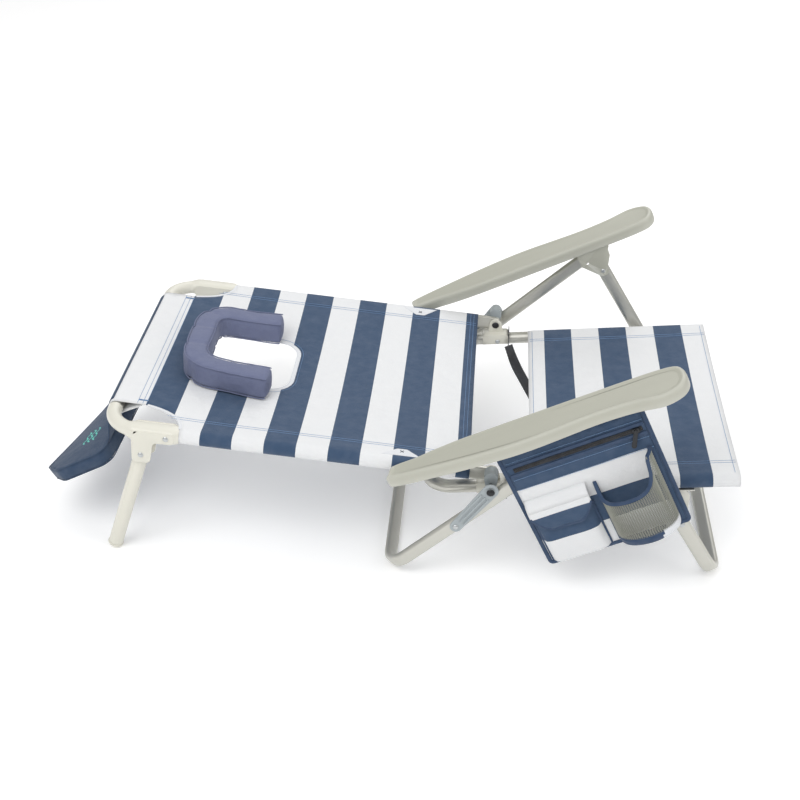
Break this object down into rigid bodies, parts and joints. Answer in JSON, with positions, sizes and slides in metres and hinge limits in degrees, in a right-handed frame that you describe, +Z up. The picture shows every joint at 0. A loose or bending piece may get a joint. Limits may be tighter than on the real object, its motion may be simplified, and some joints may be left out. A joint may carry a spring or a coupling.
{
  "type": "beach chair",
  "caption": "Low folding beach lounger opened flat, with striped sling fabric, face opening, horseshoe cushion, hanging pillow, armrests, storage pouch and bottle holder.",
  "frame": {"origin": "on the floor, on the centre line, straight below the back hinge", "axes": "+Z up, +X from the head end to the foot end, +Y to the left of a person sitting in it"},
  "size_m": [1.3054, 0.7919, 0.4655],
  "materials": {
    "aluminium_tube": "satin, clear coated",
    "ivory_plastic": "semi-gloss enamel and moulded plastic",
    "grey_plastic": "fine satin moulding",
    "link_plastic": "satin moulding",
    "steel_rivet": "zinc plated",
    "dark_steel": "blackened",
    "stripe_fabric": "plain weave, navy and white stripes",
    "cushion_fabric": "matt plain weave over foam",
    "pillow_fabric": "matt plain weave over foam",
    "pouch_fabric": "coated plain weave",
    "mesh_fabric": "open knitted mesh",
    "webbing": "woven webbing",
    "zipper": "woven tape with moulded teeth"
  },
  "bodies": {
    "seat": {"seat_tube": "aluminium_tube", "seat_fabric": "stripe_fabric", "carry_strap": "webbing", "seat_plug_left": "grey_plastic", "seat_plug_right": "grey_plastic", "hinge_bracket_left": "ivory_plastic", "hinge_bracket_right": "ivory_plastic", "drop_bracket_left": "aluminium_tube", "drop_bracket_right": "aluminium_tube", "hinge_bolt_left": "dark_steel", "hinge_bolt_right": "dark_steel", "hinge_spacer_left": "link_plastic", "hinge_spacer_right": "link_plastic", "front_pivot_rivet_left": "steel_rivet", "front_pivot_rivet_right": "steel_rivet", "front_pivot_spacer_left": "grey_plastic", "front_pivot_spacer_right": "grey_plastic", "bracket_rivet_left": "steel_rivet", "bracket_rivet_right": "steel_rivet"},
    "back": {"back_tube": "aluminium_tube", "back_fabric": "stripe_fabric", "face_cushion": "cushion_fabric", "corner_bracket_left": "ivory_plastic", "corner_bracket_right": "ivory_plastic", "corner_screw_left": "steel_rivet", "corner_screw_right": "steel_rivet", "head_leg_rivet_left": "steel_rivet", "head_leg_rivet_right": "steel_rivet", "arm_pivot_pin_left": "steel_rivet", "arm_pivot_pin_right": "steel_rivet"},
    "arms": {"pouch_panel": "pouch_fabric", "phone_pocket": "pouch_fabric", "bottle_holder": "mesh_fabric", "zipper_tape": "zipper", "armrest_left": "grey_plastic", "armrest_right": "grey_plastic", "arm_bracket_left": "grey_plastic", "arm_bracket_right": "grey_plastic", "rear_leg_rivet_left": "steel_rivet", "rear_leg_rivet_right": "steel_rivet", "front_leg_rivet_left": "steel_rivet", "front_leg_rivet_right": "steel_rivet"},
    "front_leg": {"front_leg": "aluminium_tube"},
    "links": {"link_left": "link_plastic", "link_right": "link_plastic", "link_rivet_left": "steel_rivet", "link_rivet_right": "steel_rivet"},
    "rear_leg": {"rear_leg": "aluminium_tube"},
    "head_leg_left": {"head_leg_left": "ivory_plastic", "head_foot_left": "ivory_plastic"},
    "head_leg_right": {"head_leg_right": "ivory_plastic", "head_foot_right": "ivory_plastic"},
    "pillow": {"pillow": "pillow_fabric", "pillow_flap": "pillow_fabric"},
    "pocket_flap": {"pocket_flap": "pouch_fabric"},
    "zipper_slider": {"zipper_slider": "dark_steel"},
    "zipper_pull": {"zipper_pull": "zipper"}
  },
  "joints": [
    {"name": "back_hinge", "type": "hinge", "parent": "seat", "child": "back", "pos_m": [0, 0, 0.207], "axis": [0, 1, 0], "range_deg": [0, 60]},
    {"name": "arm_pivot", "type": "hinge", "parent": "back", "child": "arms", "pos_m": [-0.16402, 0, 0.22279], "axis": [0, 1, 0], "range_deg": [-45.9, 0]},
    {"name": "front_leg_pivot", "type": "hinge", "parent": "seat", "child": "front_leg", "pos_m": [0.352, 0, 0.131], "axis": [0, 1, 0], "range_deg": [0, 28.1]},
    {"name": "link_pivot", "type": "hinge", "parent": "seat", "child": "links", "pos_m": [0, 0, 0.207], "axis": [0, 1, 0], "range_deg": [-87.9, 0]},
    {"name": "rear_leg_pivot", "type": "hinge", "parent": "links", "child": "rear_leg", "pos_m": [-0.061, 0, 0.124], "axis": [0, 1, 0], "range_deg": [0, 82.1]},
    {"name": "head_leg_left_fold", "type": "hinge", "parent": "back", "child": "head_leg_left", "pos_m": [-0.646, 0.289, 0.228], "axis": [0, -1, 0], "range_deg": [0, 104]},
    {"name": "head_leg_right_fold", "type": "hinge", "parent": "back", "child": "head_leg_right", "pos_m": [-0.646, -0.289, 0.228], "axis": [0, -1, 0], "range_deg": [0, 104]},
    {"name": "pillow_swing", "type": "hinge", "parent": "back", "child": "pillow", "pos_m": [-0.70872, 0, 0.27524], "axis": [0, 1, 0], "range_deg": [0, 140]},
    {"name": "pocket_flap_lift", "type": "hinge", "parent": "arms", "child": "pocket_flap", "pos_m": [0.12008, -0.3741, 0.20291], "axis": [-0.9033, 0, -0.4289], "range_deg": [0, 100]},
    {"name": "zipper_slide", "type": "slide", "parent": "arms", "child": "zipper_slider", "axis": [-0.9033, 0, -0.4289], "range_m": [0, 0.21]},
    {"name": "zipper_pull_swing", "type": "hinge", "parent": "zipper_slider", "child": "zipper_pull", "pos_m": [0.24313, -0.3612, 0.35875], "axis": [0, 1, 0], "range_deg": [-60, 60]}
  ],
  "couplings": [
    {"joint": "arm_pivot", "follows": "back_hinge", "ratio": -0.76342},
    {"joint": "front_leg_pivot", "follows": "back_hinge", "ratio": 0.46623},
    {"joint": "link_pivot", "follows": "back_hinge", "ratio": -1.4626},
    {"joint": "rear_leg_pivot", "follows": "back_hinge", "ratio": 1.366}
  ]
}
